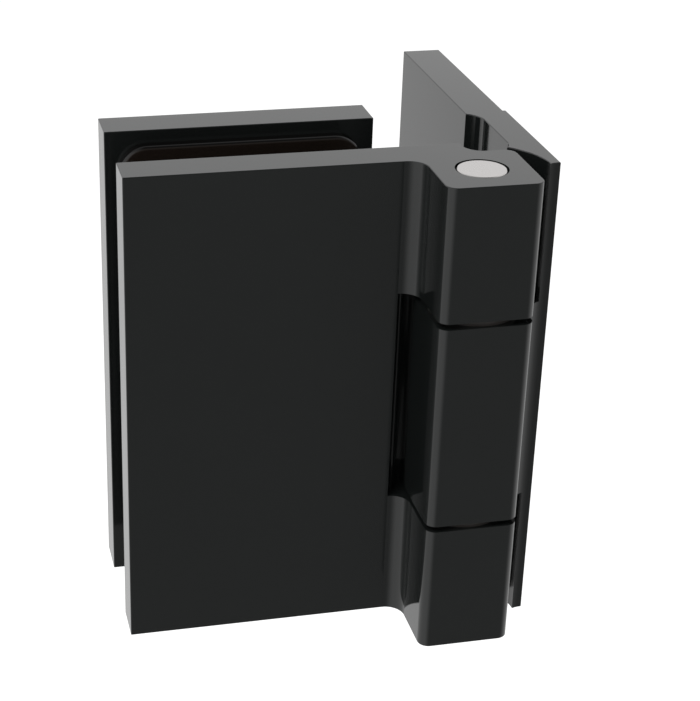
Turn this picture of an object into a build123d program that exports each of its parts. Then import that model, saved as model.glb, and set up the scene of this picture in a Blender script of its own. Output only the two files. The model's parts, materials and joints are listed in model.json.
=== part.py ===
import os
from math import hypot, sqrt

from build123d import *

# Wall-to-glass shower door hinge that opens outwards, in millimetres.
# Origin: middle of the wall screws, on the wall plane.
# +X points into the wall, +Y into the shower and +Z up along the pin.

# Place of the pin
pin_to_wall = 12.7  # pin axis to the wall plane
pin_to_screws = 43.7  # pin axis to the middle of the wall screws

# Height and knuckles
hinge_height = 80.0  # both leaves and the clamp plate
knuckle_width = 15.2  # square barrel round the pin
corner_radius = 1.8  # upright corners of the barrel
end_knuckle_height = 21.8  # top and bottom knuckle
knuckle_gap = 1.0  # between one knuckle and the next
swing_clearance = 1.0  # turning corners to the leaf beside them
edge_break = 0.15  # rounded rims of the black pieces

# Door leaf
door_leaf_width = 61.0  # side of the barrel to the free end
door_plate_thickness = 6.7
plate_back_step = 4.0  # plate's back behind the barrel's back
plate_overlap = 0.25  # plate's end past the pin axis
plate_end_radius = 0.8
neck_radius = 3.0  # hollow corners between plate and barrel
web_thickness = 1.0  # thinnest wall left behind the middle knuckle

# Clamp plate, gaskets and glass
clamp_plate_width = 43.6
clamp_plate_thickness = 7.0
glass_thickness = 10.0
gasket_thickness = 2.0
gasket_inset = 2.1  # gasket's rim to the plate's rim
gasket_corner_radius = 4.5
gasket_rim_radius = 0.65

# Clamp screws, countersunk, with sleeves in the glass
clamp_screw_diameter = 6.0
clamp_screw_head = 12.0
clamp_screw_edge = 18.0  # screw's middle to the plate's end
clamp_screw_land = 0.4  # straight rim of the head
clamp_screw_recess = 0.2  # head below the plate
clamp_socket = 4.0  # across flats
clamp_socket_depth = 2.6
thread_depth = 5.2  # threaded hole in the door plate
thread_end_gap = 0.4  # screw's tip to the hole's floor
screw_hole_clearance = 0.3  # plain holes round the screws
thread_clearance = 0.05
sleeve_wall = 2.6
sleeve_end_gap = 0.1

# Wall leaf
wall_pad_width = 35.4  # thick pad, centred on the screws
wall_pad_thickness = 6.6
wall_pad_relief = 0.5  # pad set back from the wall plane
inner_pad_overlap = 0.8  # pad's inner face nearer the pin
wall_strip_thickness = 5.0  # thin stretch beside the barrel
recess_radius = 4.0  # hollow end of the thin stretch
cove_land = 3.1  # barrel's front to the hollow that meets the wall
wall_screw_spacing_y = 16.0
wall_screw_spacing_z = 36.0
wall_screw_hole = 5.5
wall_screw_head = 11.0

# Pin, bushes, washers and grub screws
pin_diameter = 7.6
pin_recess = 0.05  # pin's ends below the leaf's ends
pin_chamfer = 0.1
pin_fit = 0.03  # pin held in the middle knuckle
running_clearance = 0.05  # pin turning in the bushes
knuckle_bore_clearance = 0.3  # round the pin, past the bushes
bush_wall = 0.95
bush_length = 14.0
bush_fit = 0.03
washer_diameter = 14.0
washer_clearance = 0.2
washer_play = 0.05
grub_diameter = 4.0
grub_spacing = 16.0
grub_recess = 0.3  # below the barrel's back
grub_socket = 2.0  # across flats
grub_socket_depth = 1.6

# Places that follow from the sizes
pin_x = -pin_to_wall
pin_y = -pin_to_screws
half_height = hinge_height / 2
half_knuckle = knuckle_width / 2
knuckle_left = pin_x - half_knuckle
knuckle_right = pin_x + half_knuckle
knuckle_front = pin_y - half_knuckle
knuckle_back = pin_y + half_knuckle
half_middle = half_height - end_knuckle_height - knuckle_gap
corner_reach = (half_knuckle - corner_radius) * sqrt(2) + corner_radius
clearance_radius = corner_reach + swing_clearance
pin_radius = pin_diameter / 2
bush_bore = pin_radius + running_clearance
bush_radius = bush_bore + bush_wall

plate_back = knuckle_back + plate_back_step
plate_front = plate_back - door_plate_thickness
plate_end = pin_x + plate_overlap
leaf_left = knuckle_right - door_leaf_width
pocket_radius = hypot(half_knuckle + neck_radius, plate_front - pin_y)
pocket_half = half_middle + knuckle_gap
web_reach = plate_back - web_thickness - pin_y
web_end = pin_x - sqrt(max(pocket_radius**2 - web_reach**2, 0))
back_neck_radius = min(neck_radius, plate_back_step - plate_end_radius - edge_break)

door_gasket_face = plate_back + gasket_thickness
clamp_gasket_face = door_gasket_face + glass_thickness
clamp_front = clamp_gasket_face + gasket_thickness
clamp_back = clamp_front + clamp_plate_thickness
clamp_x = leaf_left + clamp_plate_width / 2
clamp_screw_radius = clamp_screw_diameter / 2
clamp_screw_cone = clamp_screw_head / 2 - clamp_screw_radius
clamp_hole_radius = clamp_screw_radius + screw_hole_clearance
clamp_screw_spacing = hinge_height - 2 * clamp_screw_edge
gasket_width = clamp_plate_width - 2 * gasket_inset
gasket_height = hinge_height - 2 * gasket_inset

pad_end = wall_pad_width / 2
pad_wall_face = -wall_pad_relief
pad_inner_face = pad_wall_face - wall_pad_thickness
strip_inner_face = -wall_strip_thickness
recess_step = strip_inner_face - pad_inner_face
recess_run = sqrt(2 * recess_radius * recess_step - recess_step**2)
pad_inner_edge = -pad_end - inner_pad_overlap
recess_start = pad_inner_edge - recess_run
cove_start = knuckle_front + cove_land
cove_radius = -knuckle_right
grub_radius = grub_diameter / 2
grub_length = half_knuckle - pin_radius - grub_recess - pin_fit

upper_and_lower = (("upper", 1), ("lower", -1))
hanging = (Align.CENTER, Align.CENTER, Align.MAX)
screw_places = [(clamp_x, side * clamp_screw_spacing / 2) for name, side in upper_and_lower]

os.makedirs("parts", exist_ok=True)


def corner(sketch, x, y):
    return sketch.vertices().sort_by_distance((x, y))[0]


# Door leaf: plate with the top and bottom knuckles, one piece
with BuildPart() as door_leaf:
    with BuildSketch(Plane.XY.offset(-half_height)) as door_profile:
        with Locations((pin_x, pin_y)):
            RectangleRounded(knuckle_width, knuckle_width, corner_radius)
        with BuildLine():
            Polyline(
                (leaf_left, plate_front),
                (plate_end, plate_front),
                (plate_end, plate_back),
                (leaf_left, plate_back),
                close=True,
            )
        make_face()
        fillet(corner(door_profile, knuckle_left, plate_front), neck_radius)
        fillet(corner(door_profile, plate_end, knuckle_back), back_neck_radius)
        fillet(corner(door_profile, plate_end, plate_back), plate_end_radius)
    extrude(amount=hinge_height)
    free_end = door_leaf.faces().sort_by(Axis.X)[0]
    rims = door_leaf.faces().sort_by(Axis.Z)
    fillet(rims[0].edges() + rims[-1].edges() + free_end.edges().filter_by(Axis.Z), edge_break)
    # Pocket that the middle knuckle turns in, open towards the wall
    with BuildSketch(Plane.XY.offset(-pocket_half)):
        with Locations((pin_x, pin_y)):
            Circle(pocket_radius)
        with Locations((web_end, knuckle_front - edge_break)):
            Rectangle(
                -web_end,
                plate_back - knuckle_front + 2 * edge_break,
                align=(Align.MIN, Align.MIN),
            )
    extrude(amount=2 * pocket_half, mode=Mode.SUBTRACT)
    # Bore for the pin, with a seat for a bush at each inner end
    with Locations((pin_x, pin_y, half_height)):
        Hole(pin_radius + knuckle_bore_clearance)
    with BuildSketch(Plane.XY.offset(-pocket_half - bush_length)):
        with Locations((pin_x, pin_y)):
            Circle(bush_radius + bush_fit)
    extrude(amount=2 * (pocket_half + bush_length), mode=Mode.SUBTRACT)
    # Threaded holes for the clamp screws
    with Locations(Plane((0, plate_back, 0), x_dir=(1, 0, 0), z_dir=(0, 1, 0))):
        with Locations(*[(x, -z) for x, z in screw_places]):
            Hole(clamp_screw_radius + thread_clearance, depth=thread_depth)
door_leaf.part.label = "door_leaf"
export_step(door_leaf.part, "parts/door_leaf.step")

# Clamp plate inside the shower
with BuildPart() as clamp_plate:
    with BuildSketch(Plane((0, clamp_front, 0), x_dir=(1, 0, 0), z_dir=(0, 1, 0))):
        with Locations((clamp_x, 0)):
            Rectangle(clamp_plate_width, hinge_height)
    extrude(amount=clamp_plate_thickness)
    fillet(clamp_plate.edges(), edge_break)
    with Locations(Plane((0, clamp_back, 0), x_dir=(1, 0, 0), z_dir=(0, 1, 0))):
        with Locations(*[(x, -z, -clamp_screw_recess - clamp_screw_land) for x, z in screw_places]):
            CounterSinkHole(clamp_hole_radius, clamp_screw_head / 2 + screw_hole_clearance)
        with Locations(*[(x, -z) for x, z in screw_places]):
            Hole(clamp_screw_head / 2 + screw_hole_clearance, depth=clamp_screw_recess + clamp_screw_land)
clamp_plate.part.label = "clamp_plate"
export_step(clamp_plate.part, "parts/clamp_plate.step")

# Gaskets on both sides of the glass
for name, back_face, turn in (("door_gasket", plate_back, 1), ("clamp_gasket", clamp_front, -1)):
    with BuildPart() as gasket:
        with BuildSketch(Plane((clamp_x, back_face, 0), x_dir=(1, 0, 0), z_dir=(0, turn, 0))):
            RectangleRounded(gasket_width, gasket_height, gasket_corner_radius)
            with Locations((0, clamp_screw_spacing / 2), (0, -clamp_screw_spacing / 2)):
                Circle(clamp_hole_radius, mode=Mode.SUBTRACT)
        extrude(amount=gasket_thickness)
        glass_side = gasket.faces().sort_by(Axis.Y)[-1 if turn > 0 else 0]
        fillet(glass_side.outer_wire().edges(), gasket_rim_radius)
    gasket.part.label = name
    export_step(gasket.part, f"parts/{name}.step")

# Clamp screws and the sleeves that keep them off the glass
for name, side in upper_and_lower:
    screw_z = side * clamp_screw_spacing / 2
    head_top = clamp_back - clamp_screw_recess
    screw_tip = plate_back - thread_depth + thread_end_gap
    head_plane = Plane((clamp_x, head_top, screw_z), x_dir=(1, 0, 0), z_dir=(0, 1, 0))
    with BuildPart(head_plane) as clamp_screw:
        Cylinder(clamp_screw_head / 2, clamp_screw_land, align=hanging)
        with Locations((0, 0, -clamp_screw_land)):
            Cone(clamp_screw_radius, clamp_screw_head / 2, clamp_screw_cone, align=hanging)
        Cylinder(clamp_screw_radius, head_top - screw_tip, align=hanging)
        with BuildSketch(head_plane):
            RegularPolygon(clamp_socket / 2, 6, major_radius=False)
        extrude(amount=-clamp_socket_depth, mode=Mode.SUBTRACT)
    clamp_screw.part.label = f"{name}_clamp_screw"
    export_step(clamp_screw.part, f"parts/{name}_clamp_screw.step")

    with BuildPart() as sleeve:
        with BuildSketch(Plane((clamp_x, door_gasket_face + sleeve_end_gap, screw_z), z_dir=(0, 1, 0))):
            Circle(clamp_hole_radius + sleeve_wall)
            Circle(clamp_hole_radius, mode=Mode.SUBTRACT)
        extrude(amount=glass_thickness - 2 * sleeve_end_gap)
    sleeve.part.label = f"{name}_screw_sleeve"
    export_step(sleeve.part, f"parts/{name}_screw_sleeve.step")

# Wall leaf: screwed pad, thin strip and middle knuckle, one piece
with BuildPart() as wall_leaf:
    with BuildSketch(Plane.XY.offset(-half_height)) as wall_profile:
        with BuildLine():
            Polyline(
                (knuckle_right, cove_start),
                (knuckle_right, knuckle_front),
                (knuckle_left, knuckle_front),
                (knuckle_left, knuckle_back),
                (strip_inner_face, knuckle_back),
                (strip_inner_face, recess_start),
            )
            RadiusArc((strip_inner_face, recess_start), (pad_inner_face, pad_inner_edge), -recess_radius)
            Polyline(
                (pad_inner_face, pad_inner_edge),
                (pad_inner_face, pad_end),
                (pad_wall_face, pad_end),
                (pad_wall_face, -pad_end),
                (0, -pad_end),
                (0, cove_start + cove_radius),
            )
            RadiusArc((0, cove_start + cove_radius), (knuckle_right, cove_start), -cove_radius)
        make_face()
        fillet(corner(wall_profile, knuckle_right, knuckle_front), corner_radius)
        fillet(corner(wall_profile, knuckle_left, knuckle_front), corner_radius)
        fillet(corner(wall_profile, knuckle_left, knuckle_back), corner_radius)
        fillet(corner(wall_profile, strip_inner_face, knuckle_back), neck_radius)
    extrude(amount=hinge_height)
    # Round clearance for the knuckles of the door leaf
    for start, length in ((half_middle, half_height), (-half_middle, -half_height)):
        with BuildSketch(Plane.XY.offset(start)):
            with Locations((pin_x, pin_y)):
                Circle(clearance_radius)
        extrude(amount=length, mode=Mode.SUBTRACT)
    rims = wall_leaf.faces().sort_by(Axis.Z)
    far_end = wall_leaf.faces().sort_by(Axis.Y)[-1]
    fillet(rims[0].edges() + rims[-1].edges() + far_end.edges().filter_by(Axis.Z), edge_break)
    # Bore for the pin, and grub screw holes behind it
    with Locations((pin_x, pin_y, half_height)):
        Hole(pin_radius + pin_fit)
    with Locations(Plane((pin_x, knuckle_back, 0), x_dir=(1, 0, 0), z_dir=(0, 1, 0))):
        with Locations((0, grub_spacing / 2), (0, -grub_spacing / 2)):
            Hole(grub_radius + thread_clearance, depth=half_knuckle)
    # Countersunk wall screw holes
    with Locations(Plane((pad_inner_face, 0, 0), x_dir=(0, 1, 0), z_dir=(-1, 0, 0))):
        with GridLocations(wall_screw_spacing_y, wall_screw_spacing_z, 2, 2):
            CounterSinkHole(wall_screw_hole / 2, wall_screw_head / 2)
wall_leaf.part.label = "wall_leaf"
export_step(wall_leaf.part, "parts/wall_leaf.step")

# Hinge pin, held in the middle knuckle
with BuildPart() as hinge_pin:
    with BuildSketch(Plane.XY.offset(pin_recess - half_height)):
        with Locations((pin_x, pin_y)):
            Circle(pin_radius)
    extrude(amount=hinge_height - 2 * pin_recess)
    chamfer(hinge_pin.edges().filter_by(GeomType.CIRCLE), pin_chamfer)
hinge_pin.part.label = "hinge_pin"
export_step(hinge_pin.part, "parts/hinge_pin.step")

# Bushes in the door knuckles, washers in the gaps, grub screws on the pin
for name, side in upper_and_lower:
    with BuildPart() as bush:
        with BuildSketch(Plane.XY.offset(side * pocket_half)):
            with Locations((pin_x, pin_y)):
                Circle(bush_radius)
                Circle(bush_bore, mode=Mode.SUBTRACT)
        extrude(amount=side * bush_length)
    bush.part.label = f"{name}_bush"
    export_step(bush.part, f"parts/{name}_bush.step")

    washer_floor = half_middle if side > 0 else -pocket_half
    with BuildPart() as washer:
        with BuildSketch(Plane.XY.offset(washer_floor)):
            with Locations((pin_x, pin_y)):
                Circle(washer_diameter / 2)
                Circle(pin_radius + washer_clearance, mode=Mode.SUBTRACT)
        extrude(amount=knuckle_gap - washer_play)
    washer.part.label = f"{name}_washer"
    export_step(washer.part, f"parts/{name}_washer.step")

    grub_place = (pin_x, knuckle_back - grub_recess, side * grub_spacing / 2)
    grub_plane = Plane(grub_place, x_dir=(1, 0, 0), z_dir=(0, 1, 0))
    with BuildPart(grub_plane) as grub_screw:
        Cylinder(grub_radius, grub_length, align=hanging)
        with BuildSketch(grub_plane):
            RegularPolygon(grub_socket / 2, 6, major_radius=False)
        extrude(amount=-grub_socket_depth, mode=Mode.SUBTRACT)
    grub_screw.part.label = f"{name}_grub_screw"
    export_step(grub_screw.part, f"parts/{name}_grub_screw.step")
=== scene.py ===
import json
import math
import bmesh
import bpy
from mathutils import Matrix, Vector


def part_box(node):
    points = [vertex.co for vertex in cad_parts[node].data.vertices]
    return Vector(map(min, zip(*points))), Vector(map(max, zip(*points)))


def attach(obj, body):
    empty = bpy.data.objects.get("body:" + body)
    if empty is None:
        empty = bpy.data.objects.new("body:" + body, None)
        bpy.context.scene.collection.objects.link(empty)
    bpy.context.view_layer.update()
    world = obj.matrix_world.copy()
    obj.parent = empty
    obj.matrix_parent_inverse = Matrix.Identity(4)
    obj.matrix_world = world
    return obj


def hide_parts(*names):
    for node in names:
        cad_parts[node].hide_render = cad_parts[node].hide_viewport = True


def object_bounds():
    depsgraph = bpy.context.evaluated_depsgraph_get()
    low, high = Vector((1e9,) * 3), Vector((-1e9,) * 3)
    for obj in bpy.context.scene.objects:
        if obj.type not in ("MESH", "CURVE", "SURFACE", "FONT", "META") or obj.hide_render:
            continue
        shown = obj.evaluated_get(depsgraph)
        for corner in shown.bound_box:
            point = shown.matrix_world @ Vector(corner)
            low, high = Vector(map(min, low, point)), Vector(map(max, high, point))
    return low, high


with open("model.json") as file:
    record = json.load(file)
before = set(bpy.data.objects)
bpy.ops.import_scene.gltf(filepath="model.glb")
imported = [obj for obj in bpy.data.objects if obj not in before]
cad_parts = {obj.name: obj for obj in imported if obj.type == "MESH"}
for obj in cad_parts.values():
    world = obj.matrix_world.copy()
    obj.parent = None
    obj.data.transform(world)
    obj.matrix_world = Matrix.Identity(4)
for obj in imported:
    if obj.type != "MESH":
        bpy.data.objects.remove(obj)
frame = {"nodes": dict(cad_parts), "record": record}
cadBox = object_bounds()  # box of the CAD part, before anything is added
nodes = frame["nodes"]
scene = bpy.context.scene
print("frame loaded:", len(nodes), "nodes")


# camera, fitted to the corners of the part in the photograph
cameraSetup = {
    "place": (-0.09851, -0.28199, 0.13092),
    "azimuth": -13.07,  # degrees, 0 looks along +Y
    "elevation": 25.07,
    "roll": 1.20,
    "focal": 1783.7,  # in pixels of the 700 x 701 frame
    "longSide": 701,
    "sensor": 36.0,
    "shift": (0.10, -0.0343),
    "clipStart": 0.01,
}


def makeCamera(setup):
    data = bpy.data.cameras.new("camera")
    data.sensor_fit = "AUTO"
    data.sensor_width = setup["sensor"]
    data.lens = setup["focal"] * setup["sensor"] / setup["longSide"]
    data.shift_x, data.shift_y = setup["shift"]
    data.clip_start = setup["clipStart"]
    camera = bpy.data.objects.new("camera", data)
    turn = Matrix.Rotation(math.radians(setup["azimuth"]), 4, "Z")
    tilt = Matrix.Rotation(math.radians(90 - setup["elevation"]), 4, "X")
    roll = Matrix.Rotation(math.radians(setup["roll"]), 4, "Z")
    camera.matrix_world = Matrix.Translation(setup["place"]) @ turn @ tilt @ roll
    scene.collection.objects.link(camera)
    scene.camera = camera


makeCamera(cameraSetup)
print("camera set")


# small helpers for node trees
def addNode(tree, kind, values=None, **settings):
    node = tree.nodes.new(kind)
    for key, value in settings.items():
        setattr(node, key, value)
    for key, value in (values or {}).items():
        node.inputs[key].default_value = value
    return node


def newMaterial(name):
    material = bpy.data.materials.new(name)
    material.use_nodes = True
    tree = material.node_tree
    tree.nodes.clear()
    output = addNode(tree, "ShaderNodeOutputMaterial")
    return material, tree, output


def newGroup(name, inputs, outputs):
    tree = bpy.data.node_groups.new(name, "ShaderNodeTree")
    for label, kind, value in inputs:
        socket = tree.interface.new_socket(label, in_out="INPUT", socket_type=kind)
        socket.default_value = value
    for label, kind in outputs:
        tree.interface.new_socket(label, in_out="OUTPUT", socket_type=kind)
    return tree, tree.nodes.new("NodeGroupInput"), tree.nodes.new("NodeGroupOutput")


# shared effect: soft mottling of a finish and its fine skin
finishNoise = {
    "patch": {"Detail": 4.0, "Roughness": 0.6},
    "grain": {"Detail": 2.0, "Roughness": 0.5},
}


def makeFinishGroup(noise):
    tree, given, result = newGroup(
        "finishGrain",
        [
            ("Vector", "NodeSocketVector", (0, 0, 0)),
            ("Colour", "NodeSocketColor", (0.5, 0.5, 0.5, 1)),
            ("Colour Spread", "NodeSocketFloat", 0.1),
            ("Roughness", "NodeSocketFloat", 0.3),
            ("Roughness Spread", "NodeSocketFloat", 0.05),
            ("Patch Size", "NodeSocketFloat", 120.0),
            ("Grain Size", "NodeSocketFloat", 2500.0),
        ],
        [
            ("Colour", "NodeSocketColor"),
            ("Roughness", "NodeSocketFloat"),
            ("Grain", "NodeSocketFloat"),
        ],
    )
    link = tree.links.new
    patch = addNode(tree, "ShaderNodeTexNoise", noise["patch"])
    grain = addNode(tree, "ShaderNodeTexNoise", noise["grain"])
    link(given.outputs["Vector"], patch.inputs["Vector"])
    link(given.outputs["Vector"], grain.inputs["Vector"])
    link(given.outputs["Patch Size"], patch.inputs["Scale"])
    link(given.outputs["Grain Size"], grain.inputs["Scale"])
    centred = addNode(tree, "ShaderNodeMath", {1: 0.5}, operation="SUBTRACT")
    link(patch.outputs["Fac"], centred.inputs[0])
    gain = addNode(tree, "ShaderNodeMath", {2: 1.0}, operation="MULTIPLY_ADD")
    link(centred.outputs[0], gain.inputs[0])
    link(given.outputs["Colour Spread"], gain.inputs[1])
    tinted = addNode(tree, "ShaderNodeVectorMath", operation="SCALE")
    link(given.outputs["Colour"], tinted.inputs[0])
    link(gain.outputs[0], tinted.inputs["Scale"])
    rough = addNode(tree, "ShaderNodeMath", operation="MULTIPLY_ADD", use_clamp=True)
    link(centred.outputs[0], rough.inputs[0])
    link(given.outputs["Roughness Spread"], rough.inputs[1])
    link(given.outputs["Roughness"], rough.inputs[2])
    link(tinted.outputs["Vector"], result.inputs["Colour"])
    link(rough.outputs[0], result.inputs["Roughness"])
    link(grain.outputs["Fac"], result.inputs["Grain"])
    return tree


finishGroup = makeFinishGroup(finishNoise)


# lathe marks: rings on an end face, bands round the side
def addRings(tree, place, look):
    link = tree.links.new
    offset = addNode(tree, "ShaderNodeVectorMath", {1: look["axisPlace"]}, operation="SUBTRACT")
    link(place.outputs["Object"], offset.inputs[0])
    across = addNode(tree, "ShaderNodeVectorMath", {1: (1, 1, 0)}, operation="MULTIPLY")
    link(offset.outputs["Vector"], across.inputs[0])
    radius = addNode(tree, "ShaderNodeVectorMath", operation="LENGTH")
    link(across.outputs["Vector"], radius.inputs[0])
    parts = addNode(tree, "ShaderNodeSeparateXYZ")
    link(offset.outputs["Vector"], parts.inputs[0])
    run = addNode(tree, "ShaderNodeMath", operation="ADD")
    link(radius.outputs["Value"], run.inputs[0])
    link(parts.outputs["Z"], run.inputs[1])
    marks = addNode(tree, "ShaderNodeTexNoise", {"Scale": 1 / look["ringPitch"]}, noise_dimensions="1D")
    link(run.outputs[0], marks.inputs["W"])
    return marks.outputs["Fac"]


# painted shade: the sides of a pad, apart from its face towards the glass, get a near-black colour and a
# smoother gloss, so that they read as its shaded flanks
def addPaintedShadeSides(tree, place, look, colour, roughness):
    link = tree.links.new
    parts = addNode(tree, "ShaderNodeSeparateXYZ")
    link(place.outputs["Object"], parts.inputs[0])
    depth = addNode(tree, "ShaderNodeMath", {1: look["glassPlane"]}, operation="SUBTRACT")
    link(parts.outputs["Y"], depth.inputs[0])
    away = addNode(tree, "ShaderNodeMath", operation="ABSOLUTE")
    link(depth.outputs[0], away.inputs[0])
    paintedShadeMask = addNode(tree, "ShaderNodeMath", {1: look["paintedShadeStart"]}, operation="GREATER_THAN")
    link(away.outputs[0], paintedShadeMask.inputs[0])
    # painted shade: near-black colour on the sides in place of the brown
    paintedShadeTint = addNode(tree, "ShaderNodeMix", {7: (*look["paintedShadeColour"], 1)}, data_type="RGBA")
    link(paintedShadeMask.outputs[0], paintedShadeTint.inputs[0])
    link(colour, paintedShadeTint.inputs[6])  # 6 and 7 are its two colours
    gloss = addNode(tree, "ShaderNodeMix", {3: look["sideRoughness"]}, data_type="FLOAT")
    link(paintedShadeMask.outputs[0], gloss.inputs[0])
    link(roughness, gloss.inputs[2])  # 2 and 3 are its two values
    return paintedShadeTint.outputs[2], gloss.outputs[0]


# a finish made of the shared grain and one Principled shader
def finishMaterial(name, look):
    material, tree, output = newMaterial(name)
    link = tree.links.new
    place = addNode(tree, "ShaderNodeTexCoord")
    grain = addNode(tree, "ShaderNodeGroup", node_tree=finishGroup)
    grain.inputs["Colour"].default_value = (*look["colour"], 1)
    grain.inputs["Colour Spread"].default_value = look["colourSpread"]
    grain.inputs["Roughness"].default_value = look["roughness"]
    grain.inputs["Roughness Spread"].default_value = look["roughnessSpread"]
    grain.inputs["Patch Size"].default_value = 1 / look["patch"]
    grain.inputs["Grain Size"].default_value = 1 / look["grain"]
    link(place.outputs["Object"], grain.inputs["Vector"])
    shader = addNode(tree, "ShaderNodeBsdfPrincipled")
    shader.inputs["IOR"].default_value = look["ior"]
    shader.inputs["Metallic"].default_value = look.get("metallic", 0.0)
    bump = addNode(tree, "ShaderNodeBump", {"Strength": look["skin"], "Distance": look["skinHeight"]})
    colour, roughness = grain.outputs["Colour"], grain.outputs["Roughness"]
    if "paintedShadeColour" in look:
        colour, roughness = addPaintedShadeSides(tree, place, look, colour, roughness)
    link(colour, shader.inputs["Base Color"])
    link(roughness, shader.inputs["Roughness"])
    link(grain.outputs["Grain"], bump.inputs["Height"])
    link(bump.outputs["Normal"], shader.inputs["Normal"])
    if "rings" in look:
        turned = addNode(tree, "ShaderNodeBump", {"Strength": look["rings"], "Distance": look["skinHeight"]})
        link(addRings(tree, place, look), turned.inputs["Height"])
        link(turned.outputs["Normal"], bump.inputs["Normal"])
    link(shader.outputs["BSDF"], output.inputs["Surface"])
    return material


# colours are linear, lengths in metres
coatLook = {
    "colour": (0.0092, 0.0106, 0.0103), "colourSpread": 0.20, "roughness": 0.09, "roughnessSpread": 0.05,
    "patch": 0.009, "grain": 0.0006, "skin": 0.03, "skinHeight": 0.00002, "ior": 1.57,
}
pinLook = {
    "colour": (0.615, 0.597, 0.588), "colourSpread": 0.05, "roughness": 0.28, "roughnessSpread": 0.06,
    "patch": 0.003, "grain": 0.0006, "skin": 0.01, "skinHeight": 0.00001, "ior": 1.5, "metallic": 1.0,
    "rings": 0.08, "ringPitch": 0.0003, "axisPlace": frame["record"]["behaviour"]["joints"][0]["pos_m"],
}
screwLook = {
    "colour": (0.030, 0.030, 0.032), "colourSpread": 0.4, "roughness": 0.34, "roughnessSpread": 0.15,
    "patch": 0.002, "grain": 0.0003, "skin": 0.08, "skinHeight": 0.00002, "ior": 1.5, "metallic": 0.5,
}
washerLook = {
    "colour": (0.042, 0.037, 0.034), "colourSpread": 0.3, "roughness": 0.30, "roughnessSpread": 0.1,
    "patch": 0.003, "grain": 0.0003, "skin": 0.05, "skinHeight": 0.00002, "ior": 1.5,
}
bushLook = {
    "colour": (0.040, 0.040, 0.045), "colourSpread": 0.3, "roughness": 0.45, "roughnessSpread": 0.1,
    "patch": 0.003, "grain": 0.0003, "skin": 0.06, "skinHeight": 0.00002, "ior": 1.5,
}
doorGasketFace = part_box("door_gasket")[1].y  # the glass lies between the two faces
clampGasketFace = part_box("clamp_gasket")[0].y
gasketFaceDepth = 0.0001  # how far the brown of a face reaches down its rim
gasketLook = {
    "colour": (0.0125, 0.0090, 0.0070), "colourSpread": 0.3, "roughness": 0.20, "roughnessSpread": 0.06,
    "patch": 0.006, "grain": 0.0004, "skin": 0.08, "skinHeight": 0.00003, "ior": 1.5,
    # painted shade: near-black colour on the pad's sides, darker than its brown face, from the given depth
    # down its rim
    "paintedShadeColour": (0.0020, 0.0018, 0.0017), "sideRoughness": 0.10,
    "glassPlane": (doorGasketFace + clampGasketFace) / 2,
    "paintedShadeStart": (clampGasketFace - doorGasketFace) / 2 + gasketFaceDepth,
}
sleeveLook = {
    "colour": (0.72, 0.72, 0.70), "colourSpread": 0.06, "roughness": 0.42, "roughnessSpread": 0.1,
    "patch": 0.004, "grain": 0.0004, "skin": 0.06, "skinHeight": 0.00002, "ior": 1.5,
}
slotMaterials = {
    "black_coat": finishMaterial("blackCoat", coatLook),
    "pin_steel": finishMaterial("pinSteel", pinLook),
    "black_screw": finishMaterial("blackScrew", screwLook),
    "brown_washer": finishMaterial("brownWasher", washerLook),
    "dark_bush": finishMaterial("darkBush", bushLook),
    "brown_gasket": finishMaterial("brownGasket", gasketLook),
    "pale_sleeve": finishMaterial("paleSleeve", sleeveLook),
}


def dressNodes():
    for part in frame["record"]["subparts"]:
        material = slotMaterials[part["material_slot"]]
        for slot in nodes[part["node"]].material_slots:
            slot.material = material


dressNodes()
print("finishes on", len(nodes), "nodes")


# screws with cut threads, in place of the plain ones; their heads point to +Y
clampScrew = {
    "nodes": ("upper_clamp_screw", "lower_clamp_screw"),
    "crest": 0.0030,  # radius over the thread
    "land": 0.0004,  # straight rim of the head
    "neck": 0.0020,  # plain stretch under the cone
    "socket": 0.0040,  # across flats
    "socketDepth": 0.0026,
    "rimBevel": 0.00015,
    "tipBevel": 0.0007,
    "pitch": 0.0010,
    "threadDepth": 0.00055,
}
grubScrew = {
    "nodes": ("upper_grub_screw", "lower_grub_screw"),
    "crest": 0.0020,
    "land": 0.0,
    "neck": 0.0,
    "socket": 0.0020,
    "socketDepth": 0.0016,
    "rimBevel": 0.00045,
    "tipBevel": 0.00045,
    "pitch": 0.0007,
    "threadDepth": 0.00038,
}
screwMesh = {
    "around": 48,  # a multiple of six, for the corners of the socket
    "perTurn": 10,  # rows in one turn of the thread
    "socketBevel": 0.00012,
    "socketDimple": 0.0003,  # drilled cone in the socket's floor
    "crestShare": 0.06,  # flat of the crest and start of the flank, in turns
    "rootShare": 0.44,  # end of the flank and flat of the root
    "sharpAngle": 40.0,  # degrees
}


def hexRadius(angle, flats):
    sixth = math.pi / 3
    return flats / 2 / math.cos(angle % sixth - sixth / 2)


# rings of a screw from its socket's floor to its tip, as a radius for each angle and a height
def screwRings(look, headRadius, length):
    wide = look["socket"] + 2 * screwMesh["socketBevel"]
    rings = [
        (lambda angle: hexRadius(angle, look["socket"]), -look["socketDepth"]),
        (lambda angle: hexRadius(angle, look["socket"]), -screwMesh["socketBevel"]),
        (lambda angle: hexRadius(angle, wide), 0),
        (lambda angle: headRadius - look["rimBevel"], 0),
        (lambda angle: headRadius, -look["rimBevel"]),
    ]
    if look["land"]:
        rings.append((lambda angle: headRadius, -look["land"]))
    shankTop = -look["land"] - (headRadius - look["crest"])  # the cone has 45 degree sides
    shankTop = min(shankTop, -look["rimBevel"])
    shankEnd = -length + look["tipBevel"]
    rows = round((shankTop - shankEnd) / look["pitch"] * screwMesh["perTurn"])
    first = 0 if look["land"] else 1
    for row in range(first, rows + 1):
        rings.append((lambda angle: look["crest"], shankTop + (shankEnd - shankTop) * row / rows))
    rings.append((lambda angle: look["crest"] - look["tipBevel"], -length))
    return rings


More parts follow.
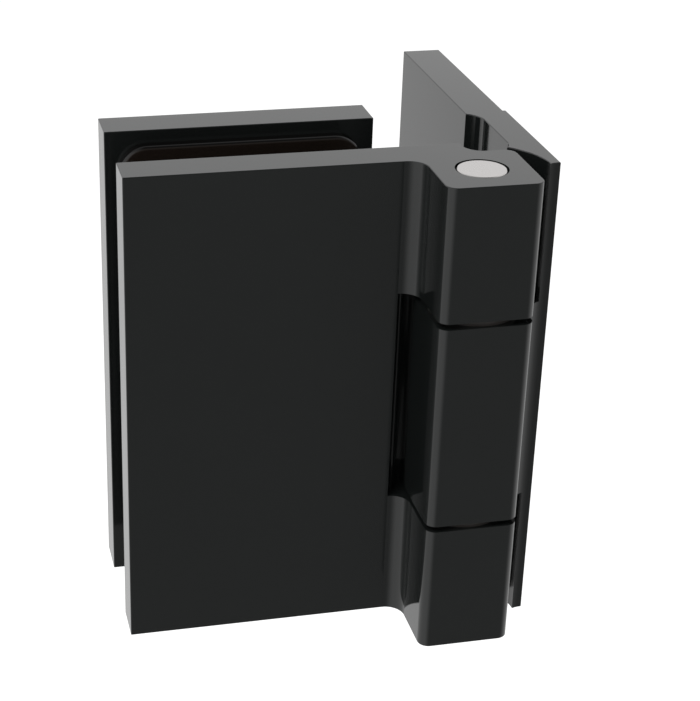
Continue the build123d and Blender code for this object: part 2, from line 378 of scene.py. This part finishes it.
def screwBlank(name, look, headRadius, length):
    form = bmesh.new()
    count = screwMesh["around"]
    angles = [2 * math.pi * step / count for step in range(count)]
    loops = []
    for radiusAt, height in screwRings(look, headRadius, length):
        ring = [(radiusAt(a) * math.cos(a), radiusAt(a) * math.sin(a), height) for a in angles]
        loops.append([form.verts.new(place) for place in ring])
    for upper, lower in zip(loops, loops[1:]):
        for step in range(count):
            after = (step + 1) % count
            form.faces.new((upper[step], upper[after], lower[after], lower[step]))
    floor = form.verts.new((0, 0, -look["socketDepth"] - screwMesh["socketDimple"]))
    tip = form.verts.new((0, 0, -length))
    for step in range(count):
        after = (step + 1) % count
        form.faces.new((floor, loops[0][after], loops[0][step]))
        form.faces.new((tip, loops[-1][step], loops[-1][after]))
    bmesh.ops.recalc_face_normals(form, faces=form.faces)
    for face in form.faces:
        face.smooth = True
    mesh = bpy.data.meshes.new(name)
    form.to_mesh(mesh)
    form.free()
    blank = bpy.data.objects.new(name, mesh)
    scene.collection.objects.link(blank)
    return blank


# cuts a helical thread into a blank that stands along Z, then lays it along Y at its place
def makeThreadTree():
    tree = bpy.data.node_groups.new("cutThread", "GeometryNodeTree")
    socketNames = {}
    for label, kind in (
        ("Blank", "NodeSocketGeometry"),
        ("Pitch", "NodeSocketFloat"),
        ("Thread Depth", "NodeSocketFloat"),
        ("Core Radius", "NodeSocketFloat"),
        ("Thread Start", "NodeSocketFloat"),
        ("Place", "NodeSocketVector"),
        ("Finish", "NodeSocketMaterial"),
    ):
        socketNames[label] = tree.interface.new_socket(label, in_out="INPUT", socket_type=kind).identifier
    tree.interface.new_socket("Screw", in_out="OUTPUT", socket_type="NodeSocketGeometry")
    link = tree.links.new
    given = tree.nodes.new("NodeGroupInput")
    result = tree.nodes.new("NodeGroupOutput")
    place = addNode(tree, "GeometryNodeInputPosition")
    parts = addNode(tree, "ShaderNodeSeparateXYZ")
    link(place.outputs["Position"], parts.inputs[0])
    angle = addNode(tree, "ShaderNodeMath", operation="ARCTAN2")
    link(parts.outputs["Y"], angle.inputs[0])
    link(parts.outputs["X"], angle.inputs[1])
    turn = addNode(tree, "ShaderNodeMath", {1: 2 * math.pi}, operation="DIVIDE")
    link(angle.outputs[0], turn.inputs[0])
    rise = addNode(tree, "ShaderNodeMath", operation="DIVIDE")
    link(parts.outputs["Z"], rise.inputs[0])
    link(given.outputs["Pitch"], rise.inputs[1])
    phase = addNode(tree, "ShaderNodeMath", operation="SUBTRACT")
    link(rise.outputs[0], phase.inputs[0])
    link(turn.outputs[0], phase.inputs[1])
    wave = addNode(tree, "ShaderNodeMath", {1: 0.5}, operation="PINGPONG")
    link(phase.outputs[0], wave.inputs[0])
    flank = addNode(tree, "ShaderNodeMapRange", {
        "From Min": screwMesh["crestShare"],
        "From Max": screwMesh["rootShare"],
    })
    link(wave.outputs[0], flank.inputs["Value"])
    runout = addNode(tree, "ShaderNodeMath", operation="SUBTRACT")
    link(given.outputs["Thread Start"], runout.inputs[0])
    link(given.outputs["Pitch"], runout.inputs[1])
    fade = addNode(tree, "ShaderNodeMapRange")
    link(parts.outputs["Z"], fade.inputs["Value"])
    link(given.outputs["Thread Start"], fade.inputs["From Min"])
    link(runout.outputs[0], fade.inputs["From Max"])
    shaped = addNode(tree, "ShaderNodeMath", operation="MULTIPLY")
    link(flank.outputs[0], shaped.inputs[0])
    link(fade.outputs[0], shaped.inputs[1])
    depth = addNode(tree, "ShaderNodeMath", operation="MULTIPLY")
    link(shaped.outputs[0], depth.inputs[0])
    link(given.outputs["Thread Depth"], depth.inputs[1])
    inward = addNode(tree, "ShaderNodeMath", {1: -1.0}, operation="MULTIPLY")
    link(depth.outputs[0], inward.inputs[0])
    across = addNode(tree, "ShaderNodeVectorMath", {1: (1, 1, 0)}, operation="MULTIPLY")
    link(place.outputs["Position"], across.inputs[0])
    outward = addNode(tree, "ShaderNodeVectorMath", operation="NORMALIZE")
    link(across.outputs["Vector"], outward.inputs[0])
    offset = addNode(tree, "ShaderNodeVectorMath", operation="SCALE")
    link(outward.outputs["Vector"], offset.inputs[0])
    link(inward.outputs[0], offset.inputs["Scale"])
    radius = addNode(tree, "ShaderNodeVectorMath", operation="LENGTH")
    link(across.outputs["Vector"], radius.inputs[0])
    onShank = addNode(tree, "ShaderNodeMath", operation="GREATER_THAN")
    link(radius.outputs["Value"], onShank.inputs[0])
    link(given.outputs["Core Radius"], onShank.inputs[1])
    cut = addNode(tree, "GeometryNodeSetPosition")
    link(given.outputs["Blank"], cut.inputs["Geometry"])
    link(onShank.outputs[0], cut.inputs["Selection"])
    link(offset.outputs["Vector"], cut.inputs["Offset"])
    lay = addNode(tree, "GeometryNodeTransform", {"Rotation": (-math.pi / 2, 0, 0)})
    link(cut.outputs["Geometry"], lay.inputs["Geometry"])
    link(given.outputs["Place"], lay.inputs["Translation"])
    real = addNode(tree, "GeometryNodeRealizeInstances")
    link(lay.outputs["Geometry"], real.inputs["Geometry"])
    finish = addNode(tree, "GeometryNodeSetMaterial")
    link(real.outputs["Geometry"], finish.inputs["Geometry"])
    link(given.outputs["Finish"], finish.inputs["Material"])
    link(finish.outputs["Geometry"], result.inputs["Screw"])
    return tree, socketNames


def makeScrews(look, tree, socketNames, bodyOf):
    for node in look["nodes"]:
        low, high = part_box(node)
        headRadius = (high.x - low.x) / 2
        name = node.replace("screw", "threaded_screw")
        blank = screwBlank(name + "_blank", look, headRadius, high.y - low.y)
        threadStart = -look["land"] - (headRadius - look["crest"]) - look["neck"]
        if not look["land"]:
            threadStart = look["pitch"]  # threaded from end to end
        values = {
            "Pitch": look["pitch"],
            "Thread Depth": look["threadDepth"],
            "Core Radius": look["crest"] - look["threadDepth"],
            "Thread Start": threadStart,
            "Place": ((low.x + high.x) / 2, high.y, (low.z + high.z) / 2),
            "Finish": slotMaterials["black_screw"],
        }
        thread = blank.modifiers.new("thread", "NODES")
        thread.node_group = tree
        for label, value in values.items():
            thread[socketNames[label]] = value
        mesh = bpy.data.meshes.new_from_object(blank.evaluated_get(bpy.context.evaluated_depsgraph_get()))
        bpy.data.objects.remove(blank)
        mesh.set_sharp_from_angle(angle=math.radians(screwMesh["sharpAngle"]))
        mesh.name = name
        piece = bpy.data.objects.new(name, mesh)
        scene.collection.objects.link(piece)
        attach(piece, bodyOf[node])
        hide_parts(node)


bodyLists = frame["record"]["behaviour"]["bodies"]
bodyOf = {node: body for body, members in bodyLists.items() for node in members}
threadTree, threadSockets = makeThreadTree()
for screwKind in (clampScrew, grubScrew):
    makeScrews(screwKind, threadTree, threadSockets, bodyOf)
print("screws threaded:", len(clampScrew["nodes"]) + len(grubScrew["nodes"]))


# floor, sky and lamp: white all round, dark in front of the part and overhead
studioSetup = {
    "floorDrop": 0.25,  # floor below the part, which hangs as on its wall
    "floorSize": 12.0,
    "floorColour": (0.85, 0.85, 0.85, 1),
    "floorLift": 0.50,  # added for the camera, so that the floor is white
    "floorShine": 0.80,  # floor in reflections, at its bright side
    "skyColour": (1, 1, 1, 1),
    "skyLight": 0.55,
    "skySeen": 1.0,
    "skyShine": 0.92,  # sky in reflections, at its bright side
    "darkTurn": 20.0,  # degrees from -Y towards +X
    "darkHalf": 18.0,  # degrees that are fully dark to each side
    "brightFrom": 66.0,  # degrees from the dark middle to full brightness
    "darkFloor": 0.285,  # share of the shine that is left in front
    "darkSky": 0.16,
    "zenithFrom": 40.0,  # degrees of height where the ceiling starts
    "zenithLevel": 0.25,
    "keyPlace": (-0.9, -0.5, 1.3),
    "keySize": 0.9,
    "keyPower": 14.0,
}
partMiddle = (cadBox[0] + cadBox[1]) / 2


# brightness of the studio in a direction
def makeShadeGroup(setup):
    tree, given, result = newGroup(
        "studioShade",
        [("Vector", "NodeSocketVector", (0, 0, 1))],
        [("Away", "NodeSocketFloat"), ("Ceiling", "NodeSocketFloat")],
    )
    link = tree.links.new
    level = addNode(tree, "ShaderNodeVectorMath", {1: (1, 1, 0)}, operation="MULTIPLY")
    link(given.outputs["Vector"], level.inputs[0])
    heading = addNode(tree, "ShaderNodeVectorMath", operation="NORMALIZE")
    link(level.outputs["Vector"], heading.inputs[0])
    turn = math.radians(setup["darkTurn"])
    dark = (math.sin(turn), -math.cos(turn), 0)
    facing = addNode(tree, "ShaderNodeVectorMath", {1: dark}, operation="DOT_PRODUCT")
    link(heading.outputs["Vector"], facing.inputs[0])
    angle = addNode(tree, "ShaderNodeMath", operation="ARCCOSINE")
    link(facing.outputs["Value"], angle.inputs[0])
    away = addNode(tree, "ShaderNodeMapRange", {
        "From Min": math.radians(setup["darkHalf"]),
        "From Max": math.radians(setup["brightFrom"]),
    }, interpolation_type="SMOOTHSTEP")
    link(angle.outputs[0], away.inputs["Value"])
    whole = addNode(tree, "ShaderNodeVectorMath", operation="NORMALIZE")
    link(given.outputs["Vector"], whole.inputs[0])
    parts = addNode(tree, "ShaderNodeSeparateXYZ")
    link(whole.outputs["Vector"], parts.inputs[0])
    ceiling = addNode(tree, "ShaderNodeMapRange", {
        "From Min": math.sin(math.radians(setup["zenithFrom"])),
        "From Max": 1.0,
        "To Min": 1.0,
        "To Max": setup["zenithLevel"],
    })
    link(parts.outputs["Z"], ceiling.inputs["Value"])
    link(away.outputs[0], result.inputs["Away"])
    link(ceiling.outputs[0], result.inputs["Ceiling"])
    return tree


shadeGroup = makeShadeGroup(studioSetup)


def makeFloor(setup):
    material, tree, output = newMaterial("floorPaper")
    link = tree.links.new
    rays = addNode(tree, "ShaderNodeLightPath")
    diffuse = addNode(tree, "ShaderNodeBsdfDiffuse", {"Color": setup["floorColour"]})
    lift = addNode(tree, "ShaderNodeEmission")
    amount = addNode(tree, "ShaderNodeMath", {1: setup["floorLift"]}, operation="MULTIPLY")
    link(rays.outputs["Is Camera Ray"], amount.inputs[0])
    link(amount.outputs[0], lift.inputs["Strength"])
    white = addNode(tree, "ShaderNodeAddShader")
    link(diffuse.outputs[0], white.inputs[0])
    link(lift.outputs[0], white.inputs[1])
    place = addNode(tree, "ShaderNodeTexCoord")
    offset = addNode(tree, "ShaderNodeVectorMath", {1: (partMiddle.x, partMiddle.y, 0)}, operation="SUBTRACT")
    link(place.outputs["Object"], offset.inputs[0])
    shade = addNode(tree, "ShaderNodeGroup", node_tree=shadeGroup)
    link(offset.outputs["Vector"], shade.inputs["Vector"])
    level = addNode(tree, "ShaderNodeMapRange", {
        "To Min": setup["floorShine"] * setup["darkFloor"],
        "To Max": setup["floorShine"],
    })
    link(shade.outputs["Away"], level.inputs["Value"])
    shine = addNode(tree, "ShaderNodeEmission")
    link(level.outputs[0], shine.inputs["Strength"])
    mix = addNode(tree, "ShaderNodeMixShader")
    link(rays.outputs["Is Glossy Ray"], mix.inputs["Fac"])
    link(white.outputs[0], mix.inputs[1])
    link(shine.outputs[0], mix.inputs[2])
    link(mix.outputs[0], output.inputs["Surface"])
    mesh = bpy.data.meshes.new("floor")
    half = setup["floorSize"] / 2
    corners = [(-half, -half, 0), (half, -half, 0), (half, half, 0), (-half, half, 0)]
    mesh.from_pydata(corners, [], [(0, 1, 2, 3)])
    mesh.materials.append(material)
    floor = bpy.data.objects.new("floor", mesh)
    floor.location.z = cadBox[0].z - setup["floorDrop"]
    scene.collection.objects.link(floor)


def makeSky(setup):
    world = bpy.data.worlds.new("sky")
    world.use_nodes = True
    tree = world.node_tree
    link = tree.links.new
    tree.nodes.clear()
    output = addNode(tree, "ShaderNodeOutputWorld")
    rays = addNode(tree, "ShaderNodeLightPath")
    colour = setup["skyColour"]
    light = addNode(tree, "ShaderNodeBackground", {"Color": colour, "Strength": setup["skyLight"]})
    seen = addNode(tree, "ShaderNodeBackground", {"Color": colour, "Strength": setup["skySeen"]})
    shine = addNode(tree, "ShaderNodeBackground", {"Color": colour})
    place = addNode(tree, "ShaderNodeTexCoord")
    shade = addNode(tree, "ShaderNodeGroup", node_tree=shadeGroup)
    link(place.outputs["Generated"], shade.inputs["Vector"])
    level = addNode(tree, "ShaderNodeMapRange", {
        "To Min": setup["skyShine"] * setup["darkSky"],
        "To Max": setup["skyShine"],
    })
    link(shade.outputs["Away"], level.inputs["Value"])
    full = addNode(tree, "ShaderNodeMath", operation="MULTIPLY")
    link(level.outputs[0], full.inputs[0])
    link(shade.outputs["Ceiling"], full.inputs[1])
    link(full.outputs[0], shine.inputs["Strength"])
    direct = addNode(tree, "ShaderNodeMath", operation="ADD", use_clamp=True)
    link(rays.outputs["Is Camera Ray"], direct.inputs[0])
    link(rays.outputs["Is Transmission Ray"], direct.inputs[1])
    whiten = addNode(tree, "ShaderNodeMixShader")
    link(direct.outputs[0], whiten.inputs["Fac"])
    link(light.outputs[0], whiten.inputs[1])
    link(seen.outputs[0], whiten.inputs[2])
    mirror = addNode(tree, "ShaderNodeMixShader")
    link(rays.outputs["Is Glossy Ray"], mirror.inputs["Fac"])
    link(whiten.outputs[0], mirror.inputs[1])
    link(shine.outputs[0], mirror.inputs[2])
    link(mirror.outputs[0], output.inputs["Surface"])
    scene.world = world


def makeLamp(name, place, size, power):
    data = bpy.data.lights.new(name, "AREA")
    data.shape = "SQUARE"
    data.size = size
    data.energy = power
    lamp = bpy.data.objects.new(name, data)
    lamp.location = place
    lamp.rotation_euler = (lamp.location - partMiddle).to_track_quat("Z", "Y").to_euler()
    lamp.visible_glossy = False  # lights the part, but has no mirror image in it
    scene.collection.objects.link(lamp)


makeFloor(studioSetup)
makeSky(studioSetup)
makeLamp("keyLamp", studioSetup["keyPlace"], studioSetup["keySize"], studioSetup["keyPower"])
scene.view_settings.view_transform = "Standard"
print("studio set")
